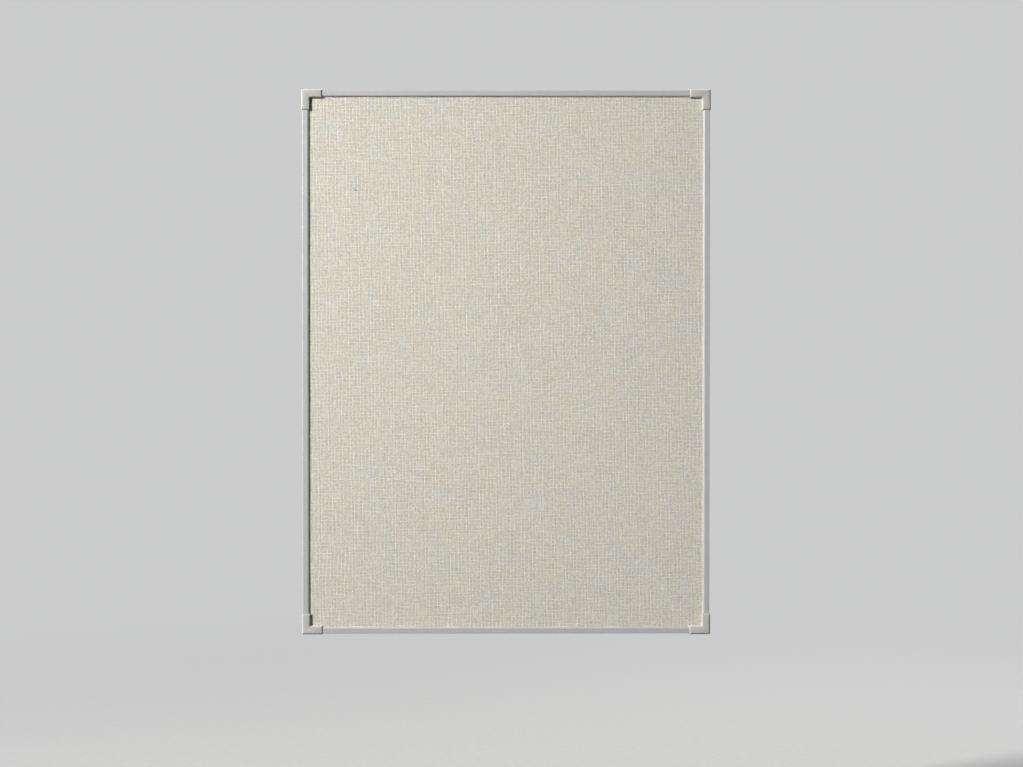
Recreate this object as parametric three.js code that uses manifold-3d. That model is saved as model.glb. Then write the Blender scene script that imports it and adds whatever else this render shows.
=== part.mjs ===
// Notice board: a linen-faced pin board in a slim metal frame with a moulded cap on each corner.
// Millimetres. Seen from the front, +X runs right and +Z runs up, and the front faces -Y.
// The origin is on the wall, behind the middle of the board. Depths are places along Y: zero at
// the wall and more negative towards the front.
import * as THREE from "three";
import { mergeVertices } from "three/addons/utils/BufferGeometryUtils.js";
import Module from "manifold-3d";

const wasm = await Module();
wasm.setup();

// The outline, over the corner caps
const BOARD_WIDTH = 450;
const BOARD_HEIGHT = 600;

// The panel's layers, from the front
const LINEN_THICKNESS = 0.6;
const PIN_BOARD_THICKNESS = 5.7;
const BACKING_THICKNESS = 3;
const LINEN_TURN_IN = 22;
const LAYER_PLAY = 0.1;

// The rails, a channel that holds the panel's edge
const RAIL_FACE = 7;
const RAIL_WALL = 1.3;
const RAIL_OUTER_ROUND = 1;
const RAIL_LIP_ROUND = 1;
const RAIL_BACK_ROUND = 0.4;
const RAIL_FRONT_DIP = 0.12;
const PANEL_SIDE_PLAY = 0.6;
const RAIL_END_PLAY = 0.6;

// The corner caps, which stand proud of the rails on every side
const CAP_LEG = 23;
const CAP_OUTER_STEP = 0.95;
const CAP_INNER_STEP = 1.5;
const CAP_FRONT_STEP = 0.75;
const CAP_BACK_STEP = 1.05;
const CAP_EDGE_ROUND = 1.4;
const CAP_CORNER_ROUND = 0.9;
const CAP_FIT = 0.15;

// The screws that hold a cap, each measured along its leg and in from the cap's outer side
const CAP_SCREW_ALONG = 16;
const CAP_SCREW_INSET = 5.3;
const CAP_SCREW = { shankRadius: 1.1, length: 5, headRadius: 2.3, headHeight: 1.3 };

// The wall pads, one on the back of each cap
const PAD_HEIGHT = 5.2;
const PAD_RADIUS = 4;
const PAD_ROUND = 0.6;

// The hangers on the back
const HANGER_INSET = 75;
const HANGER_DROP = 36;
const STRAP_WIDTH = 9;
const STRAP_LENGTH = 24;
const STRAP_THICKNESS = 1;
const STRAP_END_ROUND = 3;
const STRAP_CURL_SHARE = 0.81;
const HANGER_SCREW_DROPS = [5.6, 17];
const HANGER_SCREW = { shankRadius: 1.3, length: 7, headRadius: 2.6, headHeight: 1.5 };

// The ring of bent wire that swings in each hanger
const RING_WIRE_RADIUS = 1.1;
const RING_INNER_WIDTH = 12;
const RING_SIDE = 1;
const RING_BEND = 2.2;
const RING_JOINT_GAP = 0.6;
const RING_PLAY = 0.3;

// Screw details. The shares are of the shank's length, the head's height and the head's radius.
const SCREW_PLAY = 0.2;
const SCREW_TIP_SHARE = 0.3;
const HEAD_RIM_SHARE = 0.35;
const RECESS_DEPTH_SHARE = 0.6;
const RECESS_LENGTH_SHARE = 1.2;
const RECESS_WIDTH_SHARE = 0.36;

// How many flats a round stretch is cut into
const SECTION_ARC_STEPS = 3;
const EYE_ARC_STEPS = 8;
const EDGE_STEPS = 4;
const DOME_STEPS = 3;
const WIRE_SIDES = 8;
const WIRE_STEPS = 48;
const SCREW_SIDES = 16;
const PAD_SIDES = 32;

// How far a cutting solid runs on past what it cuts, and how near two points are one
const OVERRUN = 1;
const SAME_POINT = 0.0001;

const QUARTER_TURN = Math.PI / 2;
const HALF_TURN = Math.PI;
const THREE_QUARTERS = Math.PI * 1.5;
const FULL_TURN = Math.PI * 2;

// Depths of the frame and the layers, from the wall forwards
const CAP_BACK_Y = -PAD_HEIGHT;
const RAIL_BACK_Y = CAP_BACK_Y - CAP_BACK_STEP;
const CHANNEL_BACK_Y = RAIL_BACK_Y - RAIL_WALL;
const BACKING_BACK_Y = CHANNEL_BACK_Y - LAYER_PLAY;
const BACKING_FRONT_Y = BACKING_BACK_Y - BACKING_THICKNESS;
const LINEN_BACK_Y = BACKING_FRONT_Y - LAYER_PLAY;
const LINEN_INNER_BACK_Y = LINEN_BACK_Y - LINEN_THICKNESS;
const PIN_BOARD_BACK_Y = LINEN_INNER_BACK_Y - LAYER_PLAY;
const PIN_BOARD_FRONT_Y = PIN_BOARD_BACK_Y - PIN_BOARD_THICKNESS;
const LINEN_INNER_FRONT_Y = PIN_BOARD_FRONT_Y - LAYER_PLAY;
const LINEN_FRONT_Y = LINEN_INNER_FRONT_Y - LINEN_THICKNESS;
const CHANNEL_FRONT_Y = LINEN_FRONT_Y - LAYER_PLAY;
const RAIL_FRONT_Y = CHANNEL_FRONT_Y - RAIL_WALL;
const CAP_FRONT_Y = RAIL_FRONT_Y - CAP_FRONT_STEP;

// Distances in from the board's outline, and the panel's size
const CAP_FACE = CAP_OUTER_STEP + RAIL_FACE + CAP_INNER_STEP;
const RAIL_END_INSET = CAP_OUTER_STEP + RAIL_FACE + RAIL_END_PLAY;
const PANEL_INSET = CAP_OUTER_STEP + RAIL_WALL + PANEL_SIDE_PLAY;
const PANEL_WIDTH = BOARD_WIDTH - PANEL_INSET * 2;
const PANEL_HEIGHT = BOARD_HEIGHT - PANEL_INSET * 2;

// The hanger's eye, rolled round the ring's bar, and where the bar lies
const EYE_INNER_RADIUS = RING_WIRE_RADIUS + RING_PLAY;
const EYE_OUTER_RADIUS = EYE_INNER_RADIUS + STRAP_THICKNESS;
const RING_AXIS_Y = BACKING_BACK_Y + LAYER_PLAY + EYE_OUTER_RADIUS;
const RING_AXIS_Z = BOARD_HEIGHT / 2 - HANGER_DROP;
const HANGER_X = BOARD_WIDTH / 2 - HANGER_INSET;

// The four corners. Each has a frame with its outer corner at zero and its legs along +X and +Z,
// turned about Y. The rail that starts there runs along the frame's X, as long as the board's side.
const CORNERS = [
  { name: "bottom_left", rail: "bottom_rail", side: BOARD_WIDTH, turn: 0, right: -1, up: -1 },
  { name: "bottom_right", rail: "right_rail", side: BOARD_HEIGHT, turn: -QUARTER_TURN, right: 1, up: -1 },
  { name: "top_right", rail: "top_rail", side: BOARD_WIDTH, turn: HALF_TURN, right: 1, up: 1 },
  { name: "top_left", rail: "left_rail", side: BOARD_HEIGHT, turn: QUARTER_TURN, right: -1, up: 1 },
];

// The hangers, by the side that they are on, seen from the front
const HANGERS = [
  { name: "left", right: -1 },
  { name: "right", right: 1 },
];

const MATERIALS = {
  linen: { color: 0xd1cdc1, roughness: 0.95, metalness: 0 },
  fibre: { color: 0xb09b75, roughness: 0.95, metalness: 0 },
  hardboard: { color: 0x755940, roughness: 0.7, metalness: 0 },
  aluminium: { color: 0xc1c1bf, roughness: 0.5, metalness: 0.9 },
  capPlastic: { color: 0xc0bfbb, roughness: 0.5, metalness: 0 },
  steel: { color: 0xc1c1bf, roughness: 0.35, metalness: 1 },
  rubber: { color: 0x35353a, roughness: 0.8, metalness: 0 },
};

// A closed geometry with each point held once, and without triangles that have no area
function sealed(geometry) {
  const bare = geometry.clone();
  bare.deleteAttribute("normal");
  bare.deleteAttribute("uv");
  const merged = mergeVertices(bare, SAME_POINT);
  const kept = [];
  const corners = merged.index.array;
  for (let first = 0; first < corners.length; first += 3) {
    const [a, b, c] = corners.subarray(first, first + 3);
    if (a !== b && b !== c && c !== a) {
      kept.push(a, b, c);
    }
  }
  merged.setIndex(kept);
  return merged;
}

// A closed geometry as a solid that can be joined and cut
function toSolid(geometry) {
  const closed = sealed(geometry);
  const mesh = new wasm.Mesh({
    numProp: 3,
    vertProperties: new Float32Array(closed.attributes.position.array),
    triVerts: new Uint32Array(closed.index.array),
  });
  return new wasm.Manifold(mesh);
}

// A solid as a geometry
function toGeometry(solid) {
  const mesh = solid.getMesh();
  const geometry = new THREE.BufferGeometry();
  geometry.setAttribute("position", new THREE.BufferAttribute(mesh.vertProperties, mesh.numProp));
  geometry.setIndex(new THREE.BufferAttribute(mesh.triVerts, 1));
  geometry.computeVertexNormals();
  return geometry;
}

// A solid with each of the others cut out of it
function cutBy(solid, others) {
  return others.reduce((left, other) => left.subtract(other), solid);
}

// The same solid on the other side of the corner's diagonal, where X and Z change places
function acrossDiagonal(geometry) {
  const mirrored = sealed(geometry);
  const swap = new THREE.Matrix4().makeBasis(
    new THREE.Vector3(0, 0, 1), new THREE.Vector3(0, 1, 0), new THREE.Vector3(1, 0, 0));
  mirrored.applyMatrix4(swap);
  mirrored.setIndex(Array.from(mirrored.index.array).reverse());
  return mirrored;
}

// A box between two opposite corners
function boxBetween([x0, y0, z0], [x1, y1, z1]) {
  const geometry = new THREE.BoxGeometry(x1 - x0, y1 - y0, z1 - z0);
  geometry.translate((x0 + x1) / 2, (y0 + y1) / 2, (z0 + z1) / 2);
  return geometry;
}

// A box that is centred on the middle of the board and lies between two depths
function slab(width, height, frontY, backY) {
  return boxBetween([-width / 2, frontY, -height / 2], [width / 2, backY, height / 2]);
}

// A drill for a screw's shank, between two depths
function drill(screw, x, z, frontY, backY) {
  const radius = screw.shankRadius + SCREW_PLAY;
  const geometry = new THREE.CylinderGeometry(radius, radius, backY - frontY, SCREW_SIDES);
  geometry.translate(x, (frontY + backY) / 2, z);
  return toSolid(geometry);
}

// A section drawn in depth and height, run along +X for a length
function runAlongX(section, length, arcSteps) {
  const geometry = new THREE.ExtrudeGeometry(section, {
    depth: length,
    bevelEnabled: false,
    curveSegments: arcSteps,
  });
  const basis = new THREE.Matrix4().makeBasis(
    new THREE.Vector3(0, 1, 0), new THREE.Vector3(0, 0, 1), new THREE.Vector3(1, 0, 0));
  return geometry.applyMatrix4(basis);
}

// An outline drawn in X and Z, run from one depth forwards to another. A round is a rounded edge
// on both faces that takes nothing off the outline at its widest.
function runForwards(outline, backY, frontY, round = 0) {
  const geometry = new THREE.ExtrudeGeometry(outline, {
    depth: backY - frontY,
    bevelEnabled: round > 0,
    bevelThickness: round,
    bevelSize: round,
    bevelOffset: -round,
    bevelSegments: EDGE_STEPS,
    curveSegments: SECTION_ARC_STEPS,
  });
  geometry.rotateX(QUARTER_TURN);
  geometry.translate(0, backY, 0);
  return geometry;
}

// The rail's section: a channel that opens inwards, with a rounded and slightly dished front.
// Its first coordinate is depth and its second is the distance in from the rail's outer side.
function railSection() {
  const halfDish = (RAIL_FACE - RAIL_OUTER_ROUND - RAIL_LIP_ROUND) / 2;
  const dishRadius = (halfDish ** 2 + RAIL_FRONT_DIP ** 2) / (RAIL_FRONT_DIP * 2);
  const dishAngle = Math.asin(halfDish / dishRadius);
  const dishY = RAIL_FRONT_Y + RAIL_FRONT_DIP - dishRadius;
  const backRoundY = RAIL_BACK_Y - RAIL_BACK_ROUND;
  const lipRoundY = RAIL_FRONT_Y + RAIL_LIP_ROUND;
  const outerRoundY = RAIL_FRONT_Y + RAIL_OUTER_ROUND;
  const section = new THREE.Shape();
  section.moveTo(RAIL_BACK_Y, RAIL_BACK_ROUND);
  section.absarc(backRoundY, RAIL_FACE - RAIL_BACK_ROUND, RAIL_BACK_ROUND, 0, QUARTER_TURN, false);
  section.lineTo(CHANNEL_BACK_Y, RAIL_FACE);
  section.lineTo(CHANNEL_BACK_Y, RAIL_WALL);
  section.lineTo(CHANNEL_FRONT_Y, RAIL_WALL);
  section.lineTo(CHANNEL_FRONT_Y, RAIL_FACE);
  section.absarc(lipRoundY, RAIL_FACE - RAIL_LIP_ROUND, RAIL_LIP_ROUND, QUARTER_TURN, HALF_TURN, false);
  section.absarc(dishY, RAIL_OUTER_ROUND + halfDish, dishRadius, dishAngle, -dishAngle, true);
  section.absarc(outerRoundY, RAIL_OUTER_ROUND, RAIL_OUTER_ROUND, HALF_TURN, THREE_QUARTERS, false);
  section.absarc(backRoundY, RAIL_BACK_ROUND, RAIL_BACK_ROUND, -QUARTER_TURN, 0, false);
  return section;
}

// A rail in its first corner's frame, square at both ends and drilled for a cap screw near each
function rail(side) {
  const start = RAIL_END_INSET;
  const geometry = runAlongX(railSection(), side - start * 2, SECTION_ARC_STEPS);
  geometry.translate(start, 0, CAP_OUTER_STEP);
  const backY = RAIL_BACK_Y + OVERRUN;
  const frontY = CHANNEL_BACK_Y - OVERRUN;
  const holes = [CAP_SCREW_ALONG, side - CAP_SCREW_ALONG].map(
    (x) => drill(CAP_SCREW, x, CAP_SCREW_INSET, frontY, backY));
  return toGeometry(cutBy(toSolid(geometry), holes));
}

// The room that a rail's end takes in a cap's first leg
function railSocket() {
  const frontY = RAIL_FRONT_Y - CAP_FIT;
  const backY = RAIL_BACK_Y + CAP_FIT;
  const innerSide = RAIL_FACE + CAP_FIT;
  const round = RAIL_OUTER_ROUND;
  const section = new THREE.Shape();
  section.moveTo(backY, -CAP_FIT);
  section.lineTo(backY, innerSide);
  section.lineTo(frontY, innerSide);
  section.absarc(frontY + round, round - CAP_FIT, round, HALF_TURN, THREE_QUARTERS, false);
  const start = RAIL_END_INSET - CAP_FIT;
  const geometry = runAlongX(section, CAP_LEG + OVERRUN - start, SECTION_ARC_STEPS);
  return geometry.translate(start, 0, CAP_OUTER_STEP);
}

// The cap's outline in its corner's frame: two equal legs, with their corners rounded or sharp
function capOutline(round) {
  const outline = new THREE.Shape();
  outline.absarc(round, round, round, HALF_TURN, THREE_QUARTERS, false);
  outline.absarc(CAP_LEG - round, round, round, -QUARTER_TURN, 0, false);
  outline.absarc(CAP_LEG - round, CAP_FACE - round, round, 0, QUARTER_TURN, false);
  outline.absarc(CAP_FACE + round, CAP_FACE + round, round, -QUARTER_TURN, -HALF_TURN, true);
  outline.absarc(CAP_FACE - round, CAP_LEG - round, round, 0, QUARTER_TURN, false);
  outline.absarc(round, CAP_LEG - round, round, QUARTER_TURN, HALF_TURN, false);
  return outline;
}

// The cap's outline with sharp corners
function capSharpOutline() {
  return new THREE.Shape([
    new THREE.Vector2(0, 0),
    new THREE.Vector2(CAP_LEG, 0),
    new THREE.Vector2(CAP_LEG, CAP_FACE),
    new THREE.Vector2(CAP_FACE, CAP_FACE),
    new THREE.Vector2(CAP_FACE, CAP_LEG),
    new THREE.Vector2(0, CAP_LEG),
  ]);
}

// A corner cap: rounded over at the front, with a socket for each rail's end, a pocket for the
// panel's corner and a hole in each leg for its screw
function cornerCap() {
  const rounded = toSolid(runForwards(
    capSharpOutline(), CAP_BACK_Y, CAP_FRONT_Y + CAP_EDGE_ROUND, CAP_EDGE_ROUND));
  const block = toSolid(runForwards(
    capOutline(CAP_CORNER_ROUND), CAP_BACK_Y, CAP_FRONT_Y - OVERRUN));
  const pocketStart = PANEL_INSET - CAP_FIT;
  const pocketEnd = CAP_LEG + OVERRUN;
  const pocket = boxBetween(
    [pocketStart, CHANNEL_FRONT_Y, pocketStart], [pocketEnd, CHANNEL_BACK_Y, pocketEnd]);
  const socket = railSocket();
  const cuts = [toSolid(pocket), toSolid(socket), toSolid(acrossDiagonal(socket))];
  for (const [x, z] of capScrewPlaces()) {
    cuts.push(drill(CAP_SCREW, x, z, CHANNEL_BACK_Y, CAP_BACK_Y + OVERRUN));
  }
  return toGeometry(cutBy(rounded.intersect(block), cuts));
}

// Where the two screws of a cap go in its corner's frame
function capScrewPlaces() {
  return [
    [CAP_SCREW_ALONG, CAP_SCREW_INSET],
    [CAP_SCREW_INSET, CAP_SCREW_ALONG],
  ];
}

// A pan-head screw with a cross recess. Its head rests at zero depth and its shank points forwards.
function screw({ shankRadius, length, headRadius, headHeight }) {
  const rim = headHeight * HEAD_RIM_SHARE;
  const profile = [
    new THREE.Vector2(0, -length),
    new THREE.Vector2(shankRadius, -length * (1 - SCREW_TIP_SHARE)),
    new THREE.Vector2(shankRadius, 0),
    new THREE.Vector2(headRadius, 0),
  ];
  for (let step = 0; step <= DOME_STEPS; step += 1) {
    const angle = QUARTER_TURN * (step / DOME_STEPS);
    const radius = step < DOME_STEPS ? headRadius * Math.cos(angle) : 0;
    profile.push(new THREE.Vector2(radius, rim + (headHeight - rim) * Math.sin(angle)));
  }
  const body = toSolid(new THREE.LatheGeometry(profile, SCREW_SIDES));
  const halfLength = (headRadius * RECESS_LENGTH_SHARE) / 2;
  const halfWidth = (headRadius * RECESS_WIDTH_SHARE) / 2;
  const bottom = headHeight * (1 - RECESS_DEPTH_SHARE);
  const top = headHeight + OVERRUN;
  const across = boxBetween([-halfLength, bottom, -halfWidth], [halfLength, top, halfWidth]);
  const upright = boxBetween([-halfWidth, bottom, -halfLength], [halfWidth, top, halfLength]);
  return toGeometry(cutBy(body, [toSolid(across), toSolid(upright)]));
}

// A round pad that stands on the back of a cap and meets the wall
function wallPad() {
  const profile = [new THREE.Vector2(0, -PAD_HEIGHT), new THREE.Vector2(PAD_RADIUS, -PAD_HEIGHT)];
  for (let step = 0; step <= EDGE_STEPS; step += 1) {
    const angle = QUARTER_TURN * (step / EDGE_STEPS);
    const radius = PAD_RADIUS - PAD_ROUND + PAD_ROUND * Math.cos(angle);
    profile.push(new THREE.Vector2(radius, -PAD_ROUND + PAD_ROUND * Math.sin(angle)));
  }
  profile.push(new THREE.Vector2(0, 0));
  return sealed(new THREE.LatheGeometry(profile, PAD_SIDES));
}

// The cloth: one sheet over the front, round the four edges and a little way in behind
function linenCover() {
  const cloth = LINEN_THICKNESS * 2;
  const turnIns = LINEN_TURN_IN * 2;
  const wrapped = slab(PANEL_WIDTH, PANEL_HEIGHT, LINEN_FRONT_Y, LINEN_BACK_Y);
  const inside = slab(
    PANEL_WIDTH - cloth, PANEL_HEIGHT - cloth, LINEN_INNER_FRONT_Y, LINEN_INNER_BACK_Y);
  const opening = slab(
    PANEL_WIDTH - turnIns, PANEL_HEIGHT - turnIns, PIN_BOARD_BACK_Y, LINEN_BACK_Y + OVERRUN);
  return toGeometry(cutBy(toSolid(wrapped), [toSolid(inside), toSolid(opening)]));
}

// Where the hangers' screws go, seen in the board's own X and Z
function hangerScrewPlaces() {
  return HANGERS.flatMap(({ right }) =>
    HANGER_SCREW_DROPS.map((drop) => [right * HANGER_X, RING_AXIS_Z - drop]));
}

// The soft board that takes the pins, with blind holes for the ends of the hangers' screws
function pinBoard() {
  const clothAndPlay = (LINEN_THICKNESS + LAYER_PLAY) * 2;
  const board = slab(
    PANEL_WIDTH - clothAndPlay, PANEL_HEIGHT - clothAndPlay, PIN_BOARD_FRONT_Y, PIN_BOARD_BACK_Y);
  const tipY = RING_AXIS_Y - EYE_INNER_RADIUS - HANGER_SCREW.length;
  const holes = hangerScrewPlaces().map(
    ([x, z]) => drill(HANGER_SCREW, x, z, tipY - SCREW_PLAY, PIN_BOARD_BACK_Y + OVERRUN));
  return toGeometry(cutBy(toSolid(board), holes));
}

// The hardboard behind it, drilled for the hangers' screws and the caps' screws
function backingBoard() {
  const board = slab(PANEL_WIDTH, PANEL_HEIGHT, BACKING_FRONT_Y, BACKING_BACK_Y);
  const frontY = BACKING_FRONT_Y - OVERRUN;
  const backY = BACKING_BACK_Y + OVERRUN;
  const holes = hangerScrewPlaces().map(([x, z]) => drill(HANGER_SCREW, x, z, frontY, backY));
  for (const { right, up } of CORNERS) {
    for (const [along, inset] of capScrewPlaces()) {
      const x = right * (BOARD_WIDTH / 2 - along);
      const z = up * (BOARD_HEIGHT / 2 - inset);
      holes.push(drill(CAP_SCREW, x, z, frontY, backY));
    }
  }
  return toGeometry(cutBy(toSolid(board), holes));
}

// A hanger's strap, with its eye's middle at zero and its plate hanging below
function hangerStrap() {
  const curlEnd = HALF_TURN - FULL_TURN * STRAP_CURL_SHARE;
  const section = new THREE.Shape();
  section.moveTo(-EYE_OUTER_RADIUS, -STRAP_LENGTH);
  section.absarc(0, 0, EYE_OUTER_RADIUS, HALF_TURN, curlEnd, true);
  section.absarc(0, 0, EYE_INNER_RADIUS, curlEnd, HALF_TURN, false);
  section.lineTo(-EYE_INNER_RADIUS, -STRAP_LENGTH);
  const bent = runAlongX(section, STRAP_WIDTH, EYE_ARC_STEPS);
  bent.translate(-STRAP_WIDTH / 2, 0, 0);

  const side = STRAP_WIDTH / 2;
  const top = EYE_OUTER_RADIUS + OVERRUN;
  const roundX = side - STRAP_END_ROUND;
  const roundZ = STRAP_END_ROUND - STRAP_LENGTH;
  const outline = new THREE.Shape();
  outline.moveTo(side, top);
  outline.lineTo(-side, top);
  outline.absarc(-roundX, roundZ, STRAP_END_ROUND, HALF_TURN, THREE_QUARTERS, false);
  outline.absarc(roundX, roundZ, STRAP_END_ROUND, -QUARTER_TURN, 0, false);
  const trim = runForwards(outline, EYE_OUTER_RADIUS + OVERRUN, -EYE_OUTER_RADIUS - OVERRUN);

  const holes = HANGER_SCREW_DROPS.map((drop) =>
    drill(HANGER_SCREW, 0, -drop, -EYE_OUTER_RADIUS - OVERRUN, OVERRUN));
  return toGeometry(cutBy(toSolid(bent).intersect(toSolid(trim)), holes));
}

// A flat path, drawn in X and Z, as a curve in space
class FlatCurve extends THREE.Curve {
  constructor(path) {
    super();
    this.path = path;
  }

  getPoint(share, target = new THREE.Vector3()) {
    const point = this.path.getPointAt(share);
    return target.set(point.x, 0, point.y);
  }
}

// A ring of bent wire: a straight bar at zero height, which the eye holds and where the wire's two
// ends meet, and a round bow above it
function hangerRing() {
  const half = RING_INNER_WIDTH / 2 + RING_WIRE_RADIUS;
  const bowZ = RING_BEND + RING_SIDE;
  const path = new THREE.Path();
  path.moveTo(RING_JOINT_GAP / 2, 0);
  path.absarc(half - RING_BEND, RING_BEND, RING_BEND, -QUARTER_TURN, 0, false);
  path.absarc(0, bowZ, half, 0, HALF_TURN, false);
  path.absarc(RING_BEND - half, RING_BEND, RING_BEND, HALF_TURN, THREE_QUARTERS, false);
  path.lineTo(-RING_JOINT_GAP / 2, 0);
  const section = new THREE.Shape();
  for (let side = 0; side < WIRE_SIDES; side += 1) {
    const angle = FULL_TURN * (side / WIRE_SIDES);
    const x = RING_WIRE_RADIUS * Math.cos(angle);
    const y = RING_WIRE_RADIUS * Math.sin(angle);
    if (side === 0) {
      section.moveTo(x, y);
    } else {
      section.lineTo(x, y);
    }
  }
  return sealed(new THREE.ExtrudeGeometry(section, {
    steps: WIRE_STEPS,
    bevelEnabled: false,
    extrudePath: new FlatCurve(path),
  }));
}

// A named piece of the board
function piece(name, geometry, finish) {
  const mesh = new THREE.Mesh(geometry, new THREE.MeshStandardMaterial(MATERIALS[finish]));
  mesh.name = name;
  return mesh;
}

// What sits at one corner: the cap, the rail that starts there, the cap's screws and the wall pad
function cornerGroup({ name, rail: railName, side, turn, right, up }) {
  const group = new THREE.Group();
  group.position.set(right * BOARD_WIDTH / 2, 0, up * BOARD_HEIGHT / 2);
  group.rotation.y = turn;
  group.add(piece(`${name}_cap`, cornerCap(), "capPlastic"));
  group.add(piece(railName, rail(side), "aluminium"));
  capScrewPlaces().forEach(([x, z], index) => {
    const capScrew = piece(`${name}_cap_screw_${"ab"[index]}`, screw(CAP_SCREW), "steel");
    capScrew.position.set(x, CAP_BACK_Y, z);
    group.add(capScrew);
  });
  const pad = piece(`${name}_wall_pad`, wallPad(), "rubber");
  pad.position.set(CAP_FACE / 2, 0, CAP_FACE / 2);
  group.add(pad);
  return group;
}

// The cloth-covered panel: the cloth, the soft board and the hardboard behind it
function panelGroup() {
  const group = new THREE.Group();
  group.add(piece("linen_cover", linenCover(), "linen"));
  group.add(piece("pin_board", pinBoard(), "fibre"));
  group.add(piece("backing_board", backingBoard(), "hardboard"));
  return group;
}

// One hanger: the strap, its ring pointing up, and its two screws
function hangerGroup({ name, right }) {
  const group = new THREE.Group();
  group.position.set(right * HANGER_X, RING_AXIS_Y, RING_AXIS_Z);
  group.add(piece(`${name}_hanger_strap`, hangerStrap(), "steel"));
  group.add(piece(`${name}_hanger_ring`, hangerRing(), "steel"));
  HANGER_SCREW_DROPS.forEach((drop, index) => {
    const hangerScrew = piece(`${name}_hanger_screw_${"ab"[index]}`, screw(HANGER_SCREW), "steel");
    hangerScrew.position.set(0, -EYE_INNER_RADIUS, -drop);
    group.add(hangerScrew);
  });
  return group;
}

const noticeBoard = new THREE.Group();
CORNERS.forEach((corner) => noticeBoard.add(cornerGroup(corner)));
noticeBoard.add(panelGroup());
HANGERS.forEach((hanger) => noticeBoard.add(hangerGroup(hanger)));

export default noticeBoard;
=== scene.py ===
"""Looks for the notice board: its cloth, frame and hardware, with the camera, light and floor.

Metres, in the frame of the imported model: +X right, +Z up, and the front faces -Y.
"""
import math

import bmesh
import bpy
from mathutils import Matrix, Vector, noise


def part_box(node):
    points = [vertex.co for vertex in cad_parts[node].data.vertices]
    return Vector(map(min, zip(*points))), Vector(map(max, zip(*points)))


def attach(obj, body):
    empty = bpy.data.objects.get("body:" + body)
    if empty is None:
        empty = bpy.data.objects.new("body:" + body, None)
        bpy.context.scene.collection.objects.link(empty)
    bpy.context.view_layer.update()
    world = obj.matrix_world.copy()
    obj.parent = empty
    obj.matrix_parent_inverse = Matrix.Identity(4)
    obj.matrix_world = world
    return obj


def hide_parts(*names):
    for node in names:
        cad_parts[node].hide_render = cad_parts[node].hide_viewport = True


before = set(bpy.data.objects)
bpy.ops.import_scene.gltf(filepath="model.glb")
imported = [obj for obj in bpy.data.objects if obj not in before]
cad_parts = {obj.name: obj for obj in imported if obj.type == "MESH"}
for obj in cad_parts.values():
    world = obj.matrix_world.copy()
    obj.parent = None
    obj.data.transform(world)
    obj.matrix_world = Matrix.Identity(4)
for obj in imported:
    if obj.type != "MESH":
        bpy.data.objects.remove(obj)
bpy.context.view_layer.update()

scene = bpy.context.scene

MM = 0.001
QUARTER_TURN = math.pi / 2
HALF_TURN = math.pi
FULL_TURN = math.pi * 2
ROUNDING = 1e-9

# The photograph's view, in the pixels of its 1023 x 767 frame
PHOTO_WIDTH = 1023
PHOTO_HEIGHT = 767
FOCAL_PIXELS = 1776
BOARD_MIDDLE_PIXEL = (506.1, 362.2)
SENSOR_WIDTH_MM = 36
CAMERA_DISTANCE = 1.954
CAMERA_NEAREST = 0.05
CAMERA_FARTHEST = 100

# The surround's colour, and how much light comes from it all round
BACKDROP = (0.60, 0.602, 0.606, 1.0)
AMBIENT = 0.02

# The floor: its shown colours, its colour for the light that it throws back, and its fade
FLOOR_HALF = 30.0
FLOOR_LEVEL = -0.56
FLOOR_DARKER = (0.395, 0.397, 0.400, 1.0)
FLOOR_PALER = (0.415, 0.417, 0.420, 1.0)
FLOOR_BOUNCE = (0.11, 0.11, 0.112, 1.0)
FLOOR_FADE_START = 0.6
FLOOR_FADE_END = 2.1

# The lamps: the key rakes across the front from the upper left, and the wider ones fill all round
LAMPS = [
    {"name": "key", "place": (-3.48, -1.86, 2.18), "size": 0.3, "watts": 84,
     "colour": (1.0, 0.99, 0.975), "beam": 90},
    {"name": "soft_fill", "place": (-1.7, -1.9, 1.5), "size": 1.6, "watts": 1.2},
    {"name": "right_fill", "place": (2.7, 1.2, 0.8), "size": 1.5, "watts": 10},
    {"name": "back_key", "place": (1.5, 2.0, 1.4), "size": 0.9, "watts": 50,
     "colour": (1.0, 0.99, 0.97)},
    {"name": "back_fill", "place": (-1.8, 2.2, 0.3), "size": 1.5, "watts": 16},
    {"name": "top_light", "place": (0.5, 1.3, 3.6), "size": 2.4, "watts": 56},
]

# Sizes of the frame and the layers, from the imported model
CAP_LOW, CAP_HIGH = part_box("bottom_left_cap")
HALF_WIDTH = -CAP_LOW.x
HALF_HEIGHT = -CAP_LOW.z
CAP_LEG = CAP_HIGH.x - CAP_LOW.x
CAP_FRONT = CAP_LOW.y
CAP_BACK = CAP_HIGH.y
RAIL_LOW, RAIL_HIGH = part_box("bottom_rail")
RAIL_START = RAIL_LOW.x - CAP_LOW.x
CAP_OUTER_STEP = RAIL_LOW.z - CAP_LOW.z
RAIL_FACE = RAIL_HIGH.z - RAIL_LOW.z
RAIL_FRONT = RAIL_LOW.y
RAIL_BACK = RAIL_HIGH.y
LINEN_LOW, LINEN_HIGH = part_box("linen_cover")
STRAP_LOW, STRAP_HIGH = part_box("left_hanger_strap")

# The rail's section
RAIL_WALL = 1.3 * MM
RAIL_ROUND = 0.7 * MM
RAIL_LIP_WIDTH = 1.6 * MM
RAIL_LIP_DEPTH = 0.55 * MM
RAIL_LIP_BEND = 1.9
RAIL_BACK_ROUND = 0.4 * MM
RAIL_FRONT_DIP = 0.05 * MM

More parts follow.
